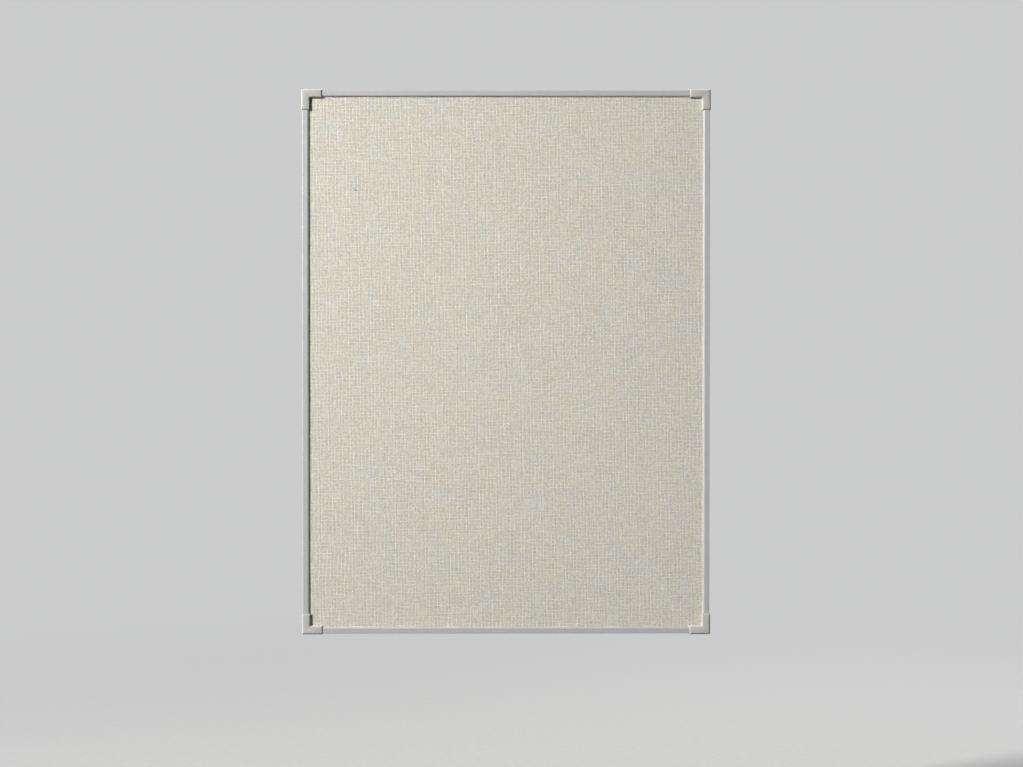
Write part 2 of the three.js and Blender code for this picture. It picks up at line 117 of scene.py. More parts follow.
# The cap
CAP_FACE = 9.45 * MM
CAP_EDGE_ROUND = 1.4 * MM
CAP_EDGE_BEND = 1.35
CAP_BACK_ROUND = 0.3 * MM
CAP_CORNER_ROUND = 0.9 * MM
CAP_LEAST_ROUND = 0.02 * MM
CAP_FIT = 0.15 * MM
CAP_SCREW_ALONG = 16 * MM
CAP_SCREW_INSET = 5.3 * MM

# The cloth's sheet
CLOTH_THICKNESS = 0.6 * MM
CLOTH_TURN_IN = 22 * MM
CLOTH_BEND = 0.9 * MM
CLOTH_GRID = 3.0 * MM

# How the cloth stands off its board, by noise with a scale across, a slice and a scale up
CLOTH_SWELL = 0.06 * MM
CLOTH_CALM_EDGE = 14 * MM
CLOTH_WAVES = (21, 3.7, 15)
CLOTH_RIPPLES = (95, 8.1, 60)
CLOTH_MIDDLE_SHARE = 0.5
CLOTH_RIPPLE_SHARE = 0.45

# How the yarns run: their pitch, how they wander, and how the cloth was pulled out of square
YARN_PITCH = 1.507 * MM
CLOTH_DRIFT = 2.4 * MM
CLOTH_DRIFT_SCALE = 7.0
CLOTH_WANDER = 0.5 * MM
CLOTH_WANDER_SCALE = 45.0
WARP_LEAN = 0.0137
WEFT_LEAN = -0.0265

# The upright yarns and the level ones. Widths are shares of the pitch, and tones are factors.
WARP = {"seed": 3.0, "uneven": 0.2, "lift": -0.5, "thin": 0.76, "thick": 0.87,
        "tones": (0.925, 1.075), "heavy": 0.12, "paired": 0.12}
WEFT = {"seed": 11.0, "uneven": 0.1, "lift": 0.5, "thin": 0.87, "thick": 0.89,
        "tones": (0.975, 1.025), "heavy": 0.002, "paired": 0.04}
YARN_SPACING_SPEED = 0.43
YARN_WAVE = 0.34
YARN_MIDDLE = 0.62

# How each trait changes from yarn to yarn and along a yarn, with its offset and its detail
YARN_TRAITS = {
    "slub": (7.31, 0.16, 0.0, 2.0),
    "tone": (3.17, 0.08, 40.0, 2.0),
    "phase": (0.06, 0.04, 80.0, 1.0),
    "patch": (0.085, 0.1, 120.0, 2.0),
}
PATCH_RANGE = (0.36, 0.62)
RHYTHM_STEP = 2.33
RHYTHM_PHASE = 9.0
RHYTHM_DARKEST = -1.0
RHYTHM_DARK_END = 0.6

# The linen's colours, and its bands of tinted threads: each one's stretch, scale and strength
LINEN_OAT = (0.690, 0.655, 0.570, 1.0)
LINEN_PINK = (0.715, 0.645, 0.570, 1.0)
LINEN_SAGE = (0.648, 0.655, 0.550, 1.0)
LINEN_DOVE = (0.660, 0.665, 0.654, 1.0)
LINEN_BANDS = [((1.0, 1.0, 0.32), 95.0, 0.28), ((0.32, 1.0, 1.0), 85.0, 0.24)]
BAND_RANGE = (0.5, 0.68)

# How much of each set of yarns shows through the other, and how far things change the lightness, with
# painted shade in the pits between the yarns
SHOW_THROUGH = 0.55
PIT_SHADE_HEIGHTS = (0.05, 0.62)
PAINTED_PIT_SHADE_TONES = (0.10, 1.145)
DOT_DEPTH = 0.18
DOT_BASE = 1.05
CROSSING_SPREAD = 0.25
FIBRE_SCALE = 3200.0
FIBRE_TONES = (0.88, 1.12)
FIBRE_RELIEF = 0.22

# The dark fleck that the photograph shows, and smaller ones
FLECK_PLACE = (-165 * MM, 0, 189 * MM)
FLECK_CORE = 0.6 * MM
FLECK_REACH = 1.3 * MM
FLECK_STRENGTH = 0.8
FLECK_COLOUR = (0.11, 0.085, 0.06, 1.0)
SMALL_FLECK_SCALE = 34.0
SMALL_FLECK_CORE = 0.012
SMALL_FLECK_REACH = 0.024
SMALL_FLECK_STRENGTH = 0.45

# The square mesh in the hardboard's back
MESH_PITCH = 2.0 * MM

# The hangers
RING_WIRE = 1.1 * MM
RING_BEND = 2.2 * MM
RING_SIDE = 1.0 * MM
RING_JOINT_GAP = 0.6 * MM
RING_END = 0.15 * MM
RING_END_SHARE = 0.86
RING_INNER_HALF = 6.0 * MM
EYE_INNER = 1.4 * MM
EYE_OUTER = 2.4 * MM
STRAP_END_ROUND = 3 * MM
STRAP_EDGE_ROUND = 0.12 * MM
STRAP_CURL_SHARE = 0.81
HANGER_SCREW_DROPS = [5.6 * MM, 17 * MM]

# The screws. Each share is of the size that its name starts with.
SCREW_SIZES = {
    "cap": {"shank": 1.1 * MM, "length": 5 * MM, "head": 2.3 * MM, "height": 1.3 * MM},
    "hanger": {"shank": 1.3 * MM, "length": 7 * MM, "head": 2.6 * MM, "height": 1.5 * MM},
}
SCREW_PLAY = 0.2 * MM
THREAD_PITCH = 0.85 * MM
THREAD_FADE = 0.9 * MM
THREAD_SLOPE = 3.6
THREAD_TIP_SLOPE = 1.5
SHANK_THREAD_SHARE = 0.26
SHANK_POINT_SHARE = 0.04
LENGTH_TIP_SHARE = 0.3
HEAD_EDGE = 0.12 * MM
HEIGHT_RIM_SHARE = 0.35
HEAD_CROSS_LONG_SHARE = 0.56
HEAD_CROSS_SHORT_SHARE = 0.15

# The recess's bottom and top: shares of the head's height, and of the cross's size
RECESS_LEVEL_SHARES = [(0.3, 0.62), (1.3, 1.1)]

# How far each screw is turned, in radians: a start, a step from one to the next, and a slope by place
CAP_SCREW_TURN = (0.4, 1.1, 90)
HANGER_SCREW_TURN = (0.7, 0.5, 60)

# The wall pads
PAD_RADIUS = 4 * MM
PAD_ROUND = 0.6 * MM
PAD_EDGE = 0.1 * MM

# Counts of steps in the rounds, and of sides of what is round
ARC_STEPS = 10
RAIL_BACK_STEPS = 5
RAIL_DISH_STEPS = 16
CAP_BACK_STEPS = 3
CLOTH_BEND_STEPS = 5
CLOTH_TURN_IN_STEPS = 5
PAD_STEPS = 8
HEAD_STEPS = 12
THREAD_STEPS = 90
STRAP_END_STEPS = 8
EYE_STEPS = 40
RING_BEND_STEPS = 14
RING_BOW_STEPS = 56
ROUND_SIDES = 48
HOLE_SIDES = 24
STRAP_HOLE_SIDES = 32
WIRE_SIDES = 24

# Angles between faces, in degrees, under which they are shaded as one smooth surface
SMOOTH_ANGLE = 32
RING_SMOOTH_ANGLE = 40
CLOTH_SMOOTH_ANGLE = 50

OVERRUN = 1 * MM

# Most of a noise's values lie between the first two, and nearly all in the wide range
NOISE_LOW = 0.3
NOISE_HIGH = 0.7
WIDE_RANGE = (0.25, 0.75)
NOISE_MIDDLE = (0.5, 0.5, 0.5)

# A Mix node's inputs for its factor and its two values, and its output, by the kind of value
MIX_INPUTS = {"FLOAT": (0, 2, 3), "RGBA": (0, 6, 7)}
MIX_OUTPUT = {"FLOAT": 0, "RGBA": 2}

# Each corner's frame has the board's outer corner at zero and the cap's legs along +X and +Z. The
# rail that starts there runs along its X.
CORNERS = [
    {"name": "bottom_left", "rail": "bottom_rail", "side": HALF_WIDTH * 2, "turn": 0, "at": (-1, -1)},
    {"name": "bottom_right", "rail": "right_rail", "side": HALF_HEIGHT * 2,
     "turn": -QUARTER_TURN, "at": (1, -1)},
    {"name": "top_right", "rail": "top_rail", "side": HALF_WIDTH * 2, "turn": HALF_TURN, "at": (1, 1)},
    {"name": "top_left", "rail": "left_rail", "side": HALF_HEIGHT * 2,
     "turn": QUARTER_TURN, "at": (-1, 1)},
]


class Finish:
    """A material that is built from nodes round one Principled shader."""

    def __init__(self, name):
        self.material = bpy.data.materials.new(name)
        self.material.use_nodes = True
        self.tree = self.material.node_tree
        self.shader = self.tree.nodes["Principled BSDF"]

    def join(self, value, socket):
        """Sets a socket to a number, a colour or another node's output."""
        if isinstance(value, bpy.types.NodeSocket):
            self.tree.links.new(value, socket)
        elif value is not None:
            socket.default_value = value

    def node(self, kind, inputs=(), output=0, **settings):
        """A node's output, with its inputs joined in order or by name."""
        made = self.tree.nodes.new("ShaderNode" + kind)
        for name, value in settings.items():
            setattr(made, name, value)
        pairs = inputs.items() if isinstance(inputs, dict) else enumerate(inputs)
        for key, value in pairs:
            self.join(value, made.inputs[key])
        return made.outputs[output]

    def math(self, operation, *values):
        return self.node("Math", values, operation=operation)

    def vector(self, operation, *values):
        return self.node("VectorMath", values, operation=operation)

    def stretched(self, place, factors):
        """A place whose axes are scaled, so that a texture is drawn out along the small ones."""
        return self.vector("MULTIPLY", place, factors)

    def parts(self, value, kind="XYZ"):
        """The three parts of a vector or, with the kind Color, of a colour."""
        made = self.tree.nodes.new("ShaderNodeSeparate" + kind)
        self.join(value, made.inputs[0])
        return made.outputs

    def noise(self, place, scale, detail=2.0, roughness=0.5, output="Fac"):
        inputs = {"Vector": place, "Scale": scale, "Detail": detail, "Roughness": roughness}
        return self.node("TexNoise", inputs, output)

    def mix(self, kind, factor, first, second, **settings):
        """A mix of two numbers (FLOAT) or two colours (RGBA)."""
        inputs = dict(zip(MIX_INPUTS[kind], (factor, first, second)))
        return self.node("Mix", inputs, MIX_OUTPUT[kind], data_type=kind, **settings)

    def blend(self, factor, first, second, kind="MIX"):
        return self.mix("RGBA", factor, first, second, blend_type=kind)

    def spread(self, value, low=NOISE_LOW, high=NOISE_HIGH, to_low=0.0, to_high=1.0):
        """Maps low..high to to_low..to_high, smoothly and held at both ends."""
        inputs = {"Value": value, "From Min": low, "From Max": high,
                  "To Min": to_low, "To Max": to_high}
        return self.node("MapRange", inputs, interpolation_type="SMOOTHSTEP")

    def bump(self, height, distance, strength):
        return self.node("Bump", {"Height": height, "Distance": distance, "Strength": strength})

    def set(self, **sockets):
        for name, value in sockets.items():
            self.join(value, self.shader.inputs[name.replace("_", " ")])
        return self.material

    def drawn_place(self):
        """Where a point lies on its piece, as the piece was first drawn."""
        return self.node("Attribute", output="Vector", attribute_name="place")

    def object_place(self):
        """Where a point lies on an object that keeps its own mesh."""
        return self.node("TexCoord", output="Object")


def make_yarns(f, across, along, kind):
    """One set of yarns: its count across, each yarn's number, and its slubs, tone and rhythm."""
    count = f.math("DIVIDE", across, YARN_PITCH)
    spot = f.math("MULTIPLY", count, YARN_SPACING_SPEED)
    uneven = f.node("TexNoise", {"W": spot, "Scale": 1.0, "Detail": 1.0}, noise_dimensions="1D")
    count = f.math("MULTIPLY_ADD", uneven, kind["uneven"], count)
    index = f.math("FLOOR", count)
    every_other = f.math("ABSOLUTE", f.math("MODULO", index, 2.0))
    part = f.math("SUBTRACT", count, index)
    length = f.math("DIVIDE", along, YARN_PITCH)

    def trait(name):
        """Noise that changes from yarn to yarn and, at its own speed, along each one."""
        step, speed, offset, detail = YARN_TRAITS[name]
        spot = f.node("CombineXYZ", (f.math("MULTIPLY_ADD", index, step, kind["seed"] + offset),
                                     f.math("MULTIPLY", length, speed), kind["seed"]))
        return f.noise(spot, 1.0, detail, roughness=0.6)

    slub = trait("slub")
    tone = trait("tone")
    phase = f.math("MULTIPLY", trait("phase"), RHYTHM_PHASE)
    rhythm = f.math("COSINE", f.math("MULTIPLY_ADD", index, RHYTHM_STEP, phase))
    patch = f.spread(trait("patch"), *PATCH_RANGE)
    return {"count": count, "index": index, "part": part, "slub": slub, "tone": tone,
            "rhythm": rhythm, "patch": patch, "every_other": every_other}


def yarn_height(f, own, crossing, kind):
    """How high one set of yarns stands, as it goes over and under the other."""
    wave = f.math("ADD", crossing["count"], f.math("ADD", own["index"], kind["lift"]))
    wave = f.math("COSINE", f.math("MULTIPLY", wave, HALF_TURN))
    slubbed = f.spread(own["slub"], to_low=kind["thin"], to_high=kind["thick"])
    width = f.math("MULTIPLY_ADD", own["every_other"], kind["thick"] - kind["thin"], slubbed)
    off = f.math("DIVIDE", f.math("MULTIPLY_ADD", own["part"], 2.0, -1.0), width)
    round_top = f.math("SUBTRACT", 1.0, f.math("MULTIPLY", off, off))
    round_top = f.math("SQRT", f.math("MAXIMUM", round_top, 0.0))
    return f.math("MULTIPLY", round_top, f.math("MULTIPLY_ADD", wave, YARN_WAVE, YARN_MIDDLE))


def yarn_tone(f, own, kind):
    """How light one set of yarns is: each yarn's own tone, pairs, and patches of heavier ones."""
    heavy = f.math("MULTIPLY", own["rhythm"], f.math("MULTIPLY", own["patch"], kind["heavy"]))
    paired = f.math("MULTIPLY_ADD", own["every_other"], kind["paired"], 1.0 - kind["paired"] / 2)
    tone = f.math("MULTIPLY", paired, f.spread(own["tone"], *WIDE_RANGE, *kind["tones"]))
    return f.math("MULTIPLY", f.math("ADD", heavy, 1.0), tone)


def thread_colour(f, place):
    """Threads of slightly different colours, seen in bands a few threads wide."""
    bands = [f.noise(f.stretched(place, stretch), scale, detail=1.0, output="Color")
             for stretch, scale, strength in LINEN_BANDS]
    colour = LINEN_OAT
    for band, (stretch, scale, strength) in zip(bands, LINEN_BANDS):
        for channel, tint in zip(f.parts(band, "Color"), (LINEN_PINK, LINEN_SAGE, LINEN_DOVE)):
            colour = f.blend(f.spread(channel, *BAND_RANGE, 0.0, strength), colour, tint)
    return colour


def flecks(f, place):
    """A dark fleck spun into the yarn, and a few smaller ones scattered over the cloth."""
    flat = f.stretched(place, (1.0, 0.0, 1.0))
    far = f.node("VectorMath", (flat, FLECK_PLACE), "Value", operation="DISTANCE")
    fleck = f.spread(far, FLECK_CORE, FLECK_REACH, 1.0, 0.0)
    sparse = f.node("TexVoronoi", {"Vector": place, "Scale": SMALL_FLECK_SCALE, "Randomness": 1.0})
    small = f.spread(sparse, SMALL_FLECK_CORE, SMALL_FLECK_REACH, SMALL_FLECK_STRENGTH, 0.0)
    return f.math("MULTIPLY", f.math("MAXIMUM", fleck, small), FLECK_STRENGTH)


def linen_material():
    """Plain-woven linen: two sets of yarns of uneven tone, with faint colours and painted shade in the
    pits between.
    """
    f = Finish("linen")
    place = f.drawn_place()
    moved = place
    for scale, reach in ((CLOTH_DRIFT_SCALE, CLOTH_DRIFT), (CLOTH_WANDER_SCALE, CLOTH_WANDER)):
        shift = f.noise(place, scale, detail=1.0, output="Color")
        shift = f.vector("SUBTRACT", shift, NOISE_MIDDLE)
        shift = f.node("VectorMath", {0: shift, "Scale": reach}, operation="SCALE")
        moved = f.vector("ADD", moved, shift)
    x, _, z = f.parts(moved)
    across = f.math("MULTIPLY_ADD", z, WARP_LEAN, x)
    up = f.math("MULTIPLY_ADD", x, WEFT_LEAN, z)
    fine = f.noise(f.stretched(moved, (1.0, 1.0, 0.4)), FIBRE_SCALE, detail=3.0, roughness=0.6)

    warp = make_yarns(f, across, up, WARP)
    weft = make_yarns(f, up, across, WEFT)
    warp_height = yarn_height(f, warp, weft, WARP)
    weft_height = yarn_height(f, weft, warp, WEFT)
    top = f.math("MAXIMUM", warp_height, weft_height)
    on_top = f.math("GREATER_THAN", warp_height, weft_height)
    relief = f.math("MULTIPLY_ADD", fine, FIBRE_RELIEF, top)
    colour = thread_colour(f, moved)

    # Each set shows a little through the other, so that a yarn reads as one line
    warp_tone = yarn_tone(f, warp, WARP)
    weft_tone = yarn_tone(f, weft, WEFT)
    under = f.math("MULTIPLY", f.math("ADD", warp_tone, weft_tone), 0.5)
    over = f.mix("FLOAT", on_top, weft_tone, warp_tone)
    tone = f.mix("FLOAT", SHOW_THROUGH, over, under)
    # Painted shade: darker where the yarns lie low, in the pits between them, and lighter on their tops
    lightness = f.math("MULTIPLY", tone, f.spread(top, *PIT_SHADE_HEIGHTS, *PAINTED_PIT_SHADE_TONES))

    # It is darker where the dark yarns of both sets cross, and each crossing has a tone of its own
    dots = f.math("MULTIPLY", *[f.spread(yarns["rhythm"], RHYTHM_DARKEST, RHYTHM_DARK_END, 1.0, 0.0)
                                for yarns in (warp, weft)])
    lightness = f.math("MULTIPLY", lightness, f.math("MULTIPLY_ADD", dots, -DOT_DEPTH, DOT_BASE))
    cell = f.node("CombineXYZ", (warp["index"], weft["index"], 0.0))
    crossing = f.node("TexWhiteNoise", {"Vector": cell}, noise_dimensions="3D")
    crossing = f.math("MULTIPLY_ADD", crossing, CROSSING_SPREAD, 1.0 - CROSSING_SPREAD / 2)
    lightness = f.math("MULTIPLY", lightness, crossing)
    lightness = f.math("MULTIPLY", lightness, f.spread(fine, *WIDE_RANGE, *FIBRE_TONES))
    colour = f.blend(1.0, colour, f.node("CombineColor", (lightness,) * 3), "MULTIPLY")
    colour = f.blend(flecks(f, place), colour, FLECK_COLOUR)
    return f.set(Base_Color=colour, Roughness=0.92, Specular_IOR_Level=0.25, Sheen_Weight=0.12,
                 Sheen_Roughness=0.5, Normal=f.bump(relief, distance=0.25 * MM, strength=0.8))


def rail_material():
    """Satin anodised aluminium with fine lines along the rail."""
    f = Finish("satin_aluminium")
    place = f.drawn_place()
    darker, paler = (0.465, 0.465, 0.461, 1.0), (0.55, 0.55, 0.544, 1.0)
    lines = f.noise(f.stretched(place, (0.012, 1.0, 1.0)), scale=5200.0, roughness=0.6)
    mottle = f.noise(place, scale=160.0, detail=3.0, roughness=0.6)
    tone = f.math("MULTIPLY_ADD", mottle, 0.3, f.math("MULTIPLY", lines, 0.7))
    colour = f.blend(f.spread(tone), darker, paler)
    rough = f.spread(lines, *WIDE_RANGE, to_low=0.56, to_high=0.64)
    return f.set(Base_Color=colour, Metallic=0.5, Roughness=rough,
                 Normal=f.bump(lines, distance=0.016 * MM, strength=0.7))


def cap_material():
    """Moulded matte plastic with a fine spark-eroded grain and faint clouds of tone and gloss."""
    f = Finish("matte_cap_plastic")
    place = f.drawn_place()
    darker, paler = (0.525, 0.519, 0.492, 1.0), (0.562, 0.555, 0.528, 1.0)
    grain = f.noise(place, scale=3600.0, roughness=0.6)
    cloud = f.noise(place, scale=120.0, detail=3.0, roughness=0.55)
    colour = f.blend(f.spread(cloud), darker, paler)
    rough = f.spread(cloud, to_low=0.54, to_high=0.66)
    return f.set(Base_Color=colour, Roughness=rough, Specular_IOR_Level=0.35,
                 Normal=f.bump(grain, distance=0.035 * MM, strength=0.7))


def steel_material():
    """Bright zinc plating with faint patches and fine scratches."""
    f = Finish("zinc_plated_steel")
    place = f.drawn_place()
    darker, paler = (0.46, 0.47, 0.47, 1.0), (0.63, 0.63, 0.60, 1.0)
    patches = f.noise(place, scale=700.0, detail=4.0, roughness=0.65)
    scratches = f.noise(f.stretched(place, (1.0, 1.0, 0.06)), scale=6000.0, roughness=0.7)
    colour = f.blend(f.spread(patches), darker, paler)
    rough = f.spread(patches, to_low=0.26, to_high=0.44)
    return f.set(Base_Color=colour, Metallic=1.0, Roughness=rough,
                 Normal=f.bump(scratches, distance=0.008 * MM, strength=0.6))


def rubber_material():
    """Dark rubber with a dusty, finely pitted skin."""
    f = Finish("pad_rubber")
    place = f.drawn_place()
    black, dusty = (0.030, 0.030, 0.034, 1.0), (0.075, 0.073, 0.070, 1.0)
    dust = f.noise(place, scale=900.0, detail=4.0, roughness=0.65)
    pits = f.noise(place, scale=4200.0, roughness=0.6)
    colour = f.blend(f.spread(dust, 0.4, 0.75), black, dusty)
    rough = f.spread(dust, to_low=0.62, to_high=0.85)
    return f.set(Base_Color=colour, Roughness=rough,
                 Normal=f.bump(pits, distance=0.04 * MM, strength=0.7))


def hardboard_material():
    """The screen-marked back of hardboard: pressed brown fibre with a fine square mesh in it, and
    painted shade in the mesh's grooves.
    """
    f = Finish("hardboard")
    place = f.object_place()
    darker, paler = (0.146, 0.080, 0.040, 1.0), (0.214, 0.125, 0.066, 1.0)
    # The colour of the painted shade in the mesh's grooves
    painted_groove_shade = (0.07, 0.036, 0.018, 1.0)
    x, _, z = f.parts(place)
    ridges = [f.math("ABSOLUTE", f.math("SINE", f.math("MULTIPLY", along, HALF_TURN / MESH_PITCH)))
              for along in (x, z)]
    mesh = f.math("MULTIPLY", *ridges)
    fibre = f.noise(f.stretched(place, (1.0, 1.0, 0.45)), scale=620.0, detail=5.0, roughness=0.72)
    cross = f.noise(f.stretched(place, (0.4, 1.0, 1.0)), scale=760.0, detail=5.0, roughness=0.72)
    flakes = f.noise(place, scale=170.0, detail=3.0, roughness=0.65)
    cloud = f.noise(place, scale=9.0)
    tone = f.math("MULTIPLY", f.math("ADD", fibre, cross), 0.31)
    tone = f.math("MULTIPLY_ADD", flakes, 0.3, tone)
    tone = f.math("MULTIPLY_ADD", cloud, 0.05, tone)
    colour = f.blend(f.spread(tone, 0.36, 0.64), darker, paler)
    # Painted shade: the colour is darkened where the mesh is low, in its grooves
    colour = f.blend(f.spread(mesh, 0.0, 0.4, to_low=0.36, to_high=0.0), colour, painted_groove_shade)
    relief = f.math("MULTIPLY_ADD", fibre, 0.5, mesh)
    rough = f.spread(tone, 0.35, 0.65, to_low=0.62, to_high=0.8)
    return f.set(Base_Color=colour, Roughness=rough,
                 Normal=f.bump(relief, distance=0.12 * MM, strength=0.8))


def fibreboard_material():
    """Soft, pale brown fibre board with loose fibres and darker flecks."""
    f = Finish("soft_fibreboard")
    place = f.object_place()
    darker, paler = (0.33, 0.235, 0.125, 1.0), (0.52, 0.40, 0.235, 1.0)
    dark_fleck = (0.19, 0.12, 0.06, 1.0)
    fibre = f.noise(f.stretched(place, (0.5, 1.0, 1.0)), scale=700.0, detail=5.0, roughness=0.7)
    fleck = f.noise(place, scale=420.0)
    colour = f.blend(f.spread(fibre), darker, paler)
    colour = f.blend(f.spread(fleck, 0.62, 0.72, to_high=0.6), colour, dark_fleck)
    return f.set(Base_Color=colour, Roughness=0.95,
                 Normal=f.bump(fibre, distance=0.25 * MM, strength=0.8))


def quarter_angles(steps):
    """Angles from zero to a quarter turn."""
    return [QUARTER_TURN * step / steps for step in range(steps + 1)]


def arc(across, up, radius, start, end, steps=ARC_STEPS):
    """Points on an arc round (across, up)."""
    angles = [start + (end - start) * step / steps for step in range(steps + 1)]
    return [(across + radius * math.cos(a), up + radius * math.sin(a)) for a in angles]


def circle(radius, sides=ROUND_SIDES):
    return arc(0, 0, radius, 0, FULL_TURN, sides)[:-1]


def circle_at(radius, y):
    return [(a, y, b) for a, b in circle(radius)]


def loft(loops):
    """The points and faces of a skin over loops with equal counts of points, closed at both ends."""
    count = len(loops[0])
    points = [point for loop in loops for point in loop]
    faces = []
    for level in range(len(loops) - 1):
        near, far = level * count, (level + 1) * count
        for i in range(count):
            j = (i + 1) % count
            faces.append((near + i, near + j, far + j, far + i))
    last = len(points) - count
    faces.append(tuple(reversed(range(count))))
    faces.append(tuple(range(last, last + count)))
    return points, faces


def solid(name, points, faces):
    """An object with its normals facing out, that isn't yet a piece."""
    mesh = bpy.data.meshes.new(name)
    mesh.from_pydata([tuple(p) for p in points], [], faces)
    shape = bmesh.new()
    shape.from_mesh(mesh)
    bmesh.ops.recalc_face_normals(shape, faces=shape.faces)
    shape.to_mesh(mesh)
    shape.free()
    obj = bpy.data.objects.new(name, mesh)
    scene.collection.objects.link(obj)
    return obj


def bake_modifiers(obj):
    """Turns what the modifiers make into the object's own mesh."""
    shown = obj.evaluated_get(bpy.context.evaluated_depsgraph_get())
    mesh = bpy.data.meshes.new_from_object(shown)
    obj.modifiers.clear()
    obj.data = mesh


def cut(obj, cutters):
    """Cuts each cutter out of obj and deletes the cutters."""
    for cutter in cutters:
        modifier = obj.modifiers.new("cut", "BOOLEAN")
        modifier.operation = "DIFFERENCE"
        modifier.solver = "EXACT"
        modifier.object = cutter
        bake_modifiers(obj)
        bpy.data.objects.remove(cutter)
    return obj


def rod(radius, x, z, front, back, sides):
    """A round rod along Y, for a cut."""
    ring = [(x + a, z + b) for a, b in circle(radius, sides)]
    return solid("cutter", *loft([[(a, y, b) for a, b in ring] for y in (front, back)]))


def soften(obj, width, segments=2, angle=35):
    """Rounds the edges that are sharper than angle, in degrees."""
    modifier = obj.modifiers.new("soften", "BEVEL")
    modifier.width = width
    modifier.segments = segments
    modifier.limit_method = "ANGLE"
    modifier.angle_limit = math.radians(angle)
    modifier.harden_normals = False
    bake_modifiers(obj)


def set_places(obj, places):
    """Keeps where each point lies, for the textures."""
    attribute = obj.data.attributes.new("place", "FLOAT_VECTOR", "POINT")
    attribute.data.foreach_set("vector", [c for place in places for c in place])


def finished(obj, name, node, body, material, matrix=None, smooth_angle=SMOOTH_ANGLE):
    """Makes obj the piece that stands for a node: its texture places, its place, shading and body."""
    obj.name = name
    obj.data.name = name
    obj.data.materials.clear()
    obj.data.materials.append(material)
    if "place" not in obj.data.attributes:
        set_places(obj, [tuple(v.co) for v in obj.data.vertices])
    if matrix is not None:
        obj.data.transform(matrix)
    obj.data.polygons.foreach_set("use_smooth", [True] * len(obj.data.polygons))
    obj.data.set_sharp_from_angle(angle=math.radians(smooth_angle))
    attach(obj, body)
    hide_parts(node)


def corner_matrix(corner):
    right, up = corner["at"]
    return Matrix.Translation((right * HALF_WIDTH, 0, up * HALF_HEIGHT)) @ Matrix.Rotation(
        corner["turn"], 4, "Y")


def eased_edge(width, depth, bend):
    """Points (in, deep) over an edge, from its side to its face. A bend of 1 is a quarter round, and
    2 is a plain chamfer."""
    return [(width * (1 - abs(math.cos(a)) ** bend), depth * (1 - math.sin(a) ** bend))
            for a in quarter_angles(ARC_STEPS)]


def rail_section():
    """The channel's outline as (depth, distance in), with its dished front and its bevelled lip."""
    half_dish = (RAIL_FACE - RAIL_ROUND - RAIL_LIP_WIDTH) / 2
    dish_radius = (half_dish ** 2 + RAIL_FRONT_DIP ** 2) / (RAIL_FRONT_DIP * 2)
    dish_angle = math.asin(half_dish / dish_radius)
    dish_depth = RAIL_FRONT + RAIL_FRONT_DIP - dish_radius
    back_round = RAIL_BACK - RAIL_BACK_ROUND
    inner_back = RAIL_BACK - RAIL_WALL
    inner_front = RAIL_FRONT + RAIL_WALL
    front_round = RAIL_FRONT + RAIL_ROUND
    points = arc(back_round, RAIL_FACE - RAIL_BACK_ROUND, RAIL_BACK_ROUND, 0, QUARTER_TURN,
                 RAIL_BACK_STEPS)
    points += [(inner_back, RAIL_FACE), (inner_back, RAIL_WALL)]
    points += [(inner_front, RAIL_WALL), (inner_front, RAIL_FACE)]
    points += [(RAIL_FRONT + deep, RAIL_FACE - inward)
               for inward, deep in eased_edge(RAIL_LIP_WIDTH, RAIL_LIP_DEPTH, RAIL_LIP_BEND)]
    points += arc(dish_depth, RAIL_ROUND + half_dish, dish_radius, dish_angle, -dish_angle,
                  RAIL_DISH_STEPS)[1:-1]
    points += arc(front_round, RAIL_ROUND, RAIL_ROUND, HALF_TURN, HALF_TURN + QUARTER_TURN)
    points += arc(back_round, RAIL_BACK_ROUND, RAIL_BACK_ROUND, -QUARTER_TURN, 0, RAIL_BACK_STEPS)
    return points


def make_rail(corner, material):
    """A rail from cap to cap, drilled through its rear lip for the caps' screws."""
    section = rail_section()
    ends = (RAIL_START, corner["side"] - RAIL_START)
    loops = [[(x, y, z + CAP_OUTER_STEP) for y, z in section] for x in ends]
    obj = solid("rail", *loft(loops))
    radius = SCREW_SIZES["cap"]["shank"] + SCREW_PLAY
    front, back = RAIL_BACK - RAIL_WALL - OVERRUN, RAIL_BACK + OVERRUN
    places = (CAP_SCREW_ALONG, corner["side"] - CAP_SCREW_ALONG)
    cut(obj, [rod(radius, x, CAP_SCREW_INSET, front, back, HOLE_SIDES) for x in places])
    finished(obj, corner["rail"] + "_skin", corner["rail"], "board", material,
             corner_matrix(corner))


def cap_loop(inset, y):
    """The cap's outline, drawn in by inset, at one depth."""
    outer = max(CAP_CORNER_ROUND - inset, CAP_LEAST_ROUND)
    inner = CAP_CORNER_ROUND + inset
    low, leg, face = inset, CAP_LEG - inset, CAP_FACE - inset
    points = arc(low + outer, low + outer, outer, HALF_TURN, HALF_TURN + QUARTER_TURN)
    points += arc(leg - outer, low + outer, outer, -QUARTER_TURN, 0)
    points += arc(leg - outer, face - outer, outer, 0, QUARTER_TURN)
    points += arc(face + inner, face + inner, inner, -QUARTER_TURN, -HALF_TURN)
    points += arc(face - outer, leg - outer, outer, 0, QUARTER_TURN)
    points += arc(low + outer, leg - outer, outer, QUARTER_TURN, HALF_TURN)
    return [(x, y, z) for x, z in points]


